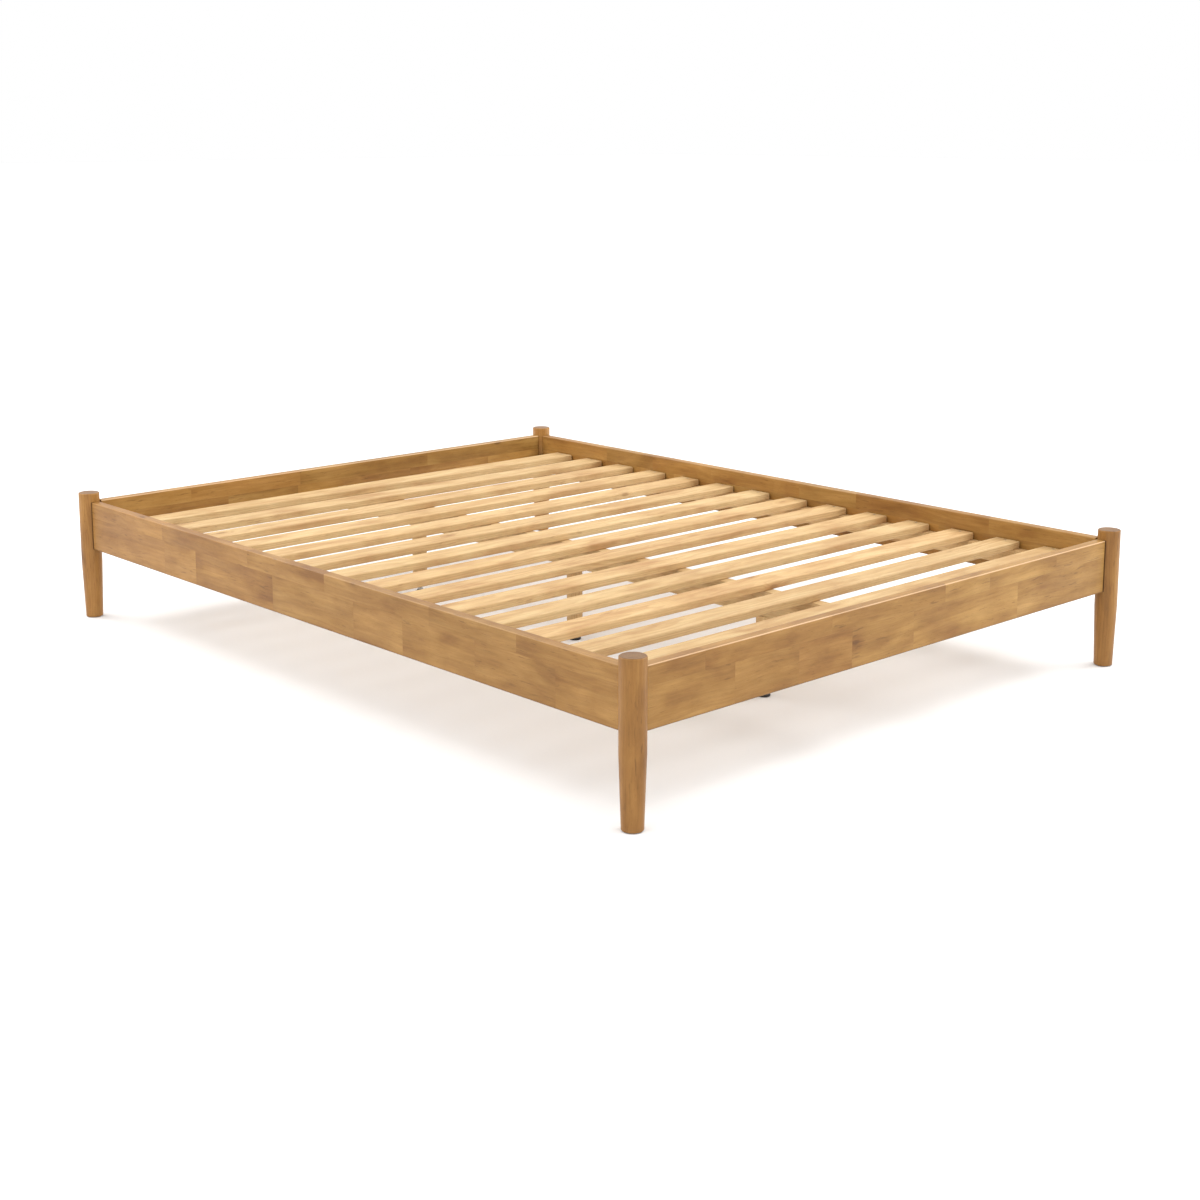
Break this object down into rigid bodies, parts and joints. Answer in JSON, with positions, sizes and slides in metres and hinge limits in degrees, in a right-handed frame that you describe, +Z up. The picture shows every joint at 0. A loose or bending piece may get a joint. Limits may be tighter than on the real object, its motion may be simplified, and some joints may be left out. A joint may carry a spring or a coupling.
{
  "type": "bed frame",
  "caption": "Low wooden platform bed frame: round tapered corner posts, flat eased rails, slats on ledgers, and a centre beam on legs with levelling feet.",
  "frame": {"origin": "on the floor, under the middle of the frame", "axes": "+X across the bed to the right side, +Y to the head end, +Z up"},
  "size_m": [1.639, 2.139, 0.337],
  "materials": {
    "frame_wood": "satin clear lacquer on honey-coloured hardwood, finger-jointed staves in the rails",
    "support_wood": "planed, unfinished pale softwood",
    "slat_wood": "planed, unfinished pale softwood",
    "dowel_wood": "plain beech",
    "zinc_steel": "bright zinc plating",
    "black_plastic": "matte moulded plastic"
  },
  "bodies": {
    "frame": {"post_head_left": "frame_wood", "post_head_right": "frame_wood", "post_foot_left": "frame_wood", "post_foot_right": "frame_wood", "head_rail": "frame_wood", "foot_rail": "frame_wood", "side_rail_left": "frame_wood", "side_rail_right": "frame_wood", "ledger_left": "support_wood", "ledger_right": "support_wood", "centre_beam": "support_wood", "centre_leg_head": "support_wood", "centre_leg_middle": "support_wood", "centre_leg_foot": "support_wood", "slat_01": "slat_wood", "slat_02": "slat_wood", "slat_03": "slat_wood", "slat_04": "slat_wood", "slat_05": "slat_wood", "slat_06": "slat_wood", "slat_07": "slat_wood", "slat_08": "slat_wood", "slat_09": "slat_wood", "slat_10": "slat_wood", "slat_11": "slat_wood", "slat_12": "slat_wood", "slat_13": "slat_wood", "slat_14": "slat_wood", "corner_bracket_head_left": "zinc_steel", "corner_bracket_head_right": "zinc_steel", "corner_bracket_foot_left": "zinc_steel", "corner_bracket_foot_right": "zinc_steel", "beam_hanger_head": "zinc_steel", "beam_hanger_foot": "zinc_steel", "corner_bolts": "zinc_steel", "corner_washers": "zinc_steel", "threaded_inserts": "zinc_steel", "bracket_screws": "zinc_steel", "ledger_screws": "zinc_steel", "slat_screws": "zinc_steel", "leg_bolts": "zinc_steel", "rail_dowels": "dowel_wood", "post_glides": "black_plastic"},
    "levelling_foot_head": {"level_stud_head": "zinc_steel", "level_pad_head": "black_plastic"},
    "levelling_foot_middle": {"level_stud_middle": "zinc_steel", "level_pad_middle": "black_plastic"},
    "levelling_foot_foot": {"level_stud_foot": "zinc_steel", "level_pad_foot": "black_plastic"}
  },
  "joints": [
    {"name": "level_head", "type": "slide", "parent": "frame", "child": "levelling_foot_head", "axis": [0, 0, -1], "range_m": [-0.014, 0]},
    {"name": "level_middle", "type": "slide", "parent": "frame", "child": "levelling_foot_middle", "axis": [0, 0, -1], "range_m": [-0.014, 0]},
    {"name": "level_foot", "type": "slide", "parent": "frame", "child": "levelling_foot_foot", "axis": [0, 0, -1], "range_m": [-0.014, 0]}
  ]
}
